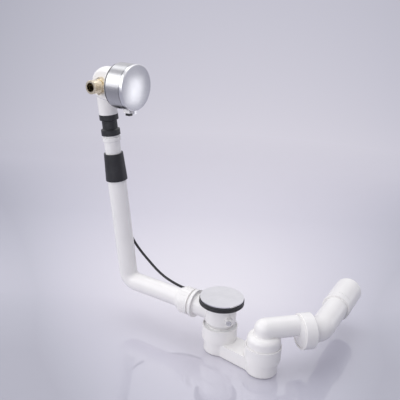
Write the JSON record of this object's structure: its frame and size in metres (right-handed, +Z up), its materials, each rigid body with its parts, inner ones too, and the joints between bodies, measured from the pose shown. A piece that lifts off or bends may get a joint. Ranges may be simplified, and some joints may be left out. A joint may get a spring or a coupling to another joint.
{
  "type": "bath waste and overflow",
  "caption": "Bath waste and overflow: domed plug lifted by cable from a filling rosette knob, leaning overflow pipe, twin-cup trap and angled outlet.",
  "frame": {"origin": "on the waste axis at the top face of the profile seal, where the bath sits", "axes": "+Z up along the waste axis, +X level, from the overflow riser towards the outlet cup"},
  "size_m": [0.4014, 0.2834, 0.4446],
  "materials": {
    "white_plastic": "glossy moulded plastic",
    "black_rubber": "smooth moulded rubber",
    "chrome": "polished chrome plating",
    "white_rubber": "smooth white moulded rubber",
    "brass": "pale turned brass",
    "black_plastic": "black plastic with a soft sheen",
    "steel": "plain stainless steel"
  },
  "bodies": {
    "housing": {"adapter_seal": "black_rubber", "cable": "black_plastic", "connector_tube": "white_plastic", "fixing_screws": "steel", "inlet_cup_seal": "white_rubber", "inlet_nipple": "brass", "lower_ferrule": "black_plastic", "lower_sleeve": "black_rubber", "outlet_adapter": "white_plastic", "outlet_bend": "white_plastic", "outlet_cup_seal": "white_rubber", "outlet_elbow": "white_plastic", "outlet_nut": "white_plastic", "outlet_seal": "black_rubber", "overflow_body": "white_plastic", "overflow_nut": "white_plastic", "overflow_pipe": "white_plastic", "overflow_wedge_seal": "black_rubber", "profile_seal": "black_rubber", "rosette_drum": "chrome", "spout_core": "black_plastic", "spout_frame": "white_plastic", "trap": "white_plastic", "upper_ferrule": "black_plastic", "upper_sleeve": "black_rubber", "valve_insert": "white_plastic", "wall_gasket": "black_rubber", "waste_body": "white_plastic", "waste_flange": "chrome"},
    "knob": {"knob": "chrome", "knob_spindle": "steel", "cable_wheel": "black_plastic"},
    "plug": {"plug_cover": "chrome", "plug_carrier": "white_plastic", "plug_seal": "black_rubber", "plug_stem": "steel", "stem_lock_nut": "steel"},
    "lever": {"lift_lever": "steel", "drive_arm": "steel", "lever_shaft": "steel"}
  },
  "joints": [
    {"name": "knob_turn", "type": "hinge", "parent": "housing", "child": "knob", "pos_m": [-0.21953, -0.02875, 0.31617], "axis": [1, 0, 0], "range_deg": [0, 90]},
    {"name": "plug_lift", "type": "slide", "parent": "housing", "child": "plug", "axis": [0, 0, 1], "range_m": [0, 0.0101]},
    {"name": "lever_turn", "type": "hinge", "parent": "housing", "child": "lever", "pos_m": [0.01126, 0.0065, -0.0292], "axis": [-0.5, 0.866, 0], "range_deg": [0, 45.1]}
  ],
  "couplings": [
    {"joint": "plug_lift", "follows": "knob_turn", "m_per_rad": 0.0063662},
    {"joint": "lever_turn", "follows": "knob_turn", "ratio": 0.5}
  ]
}
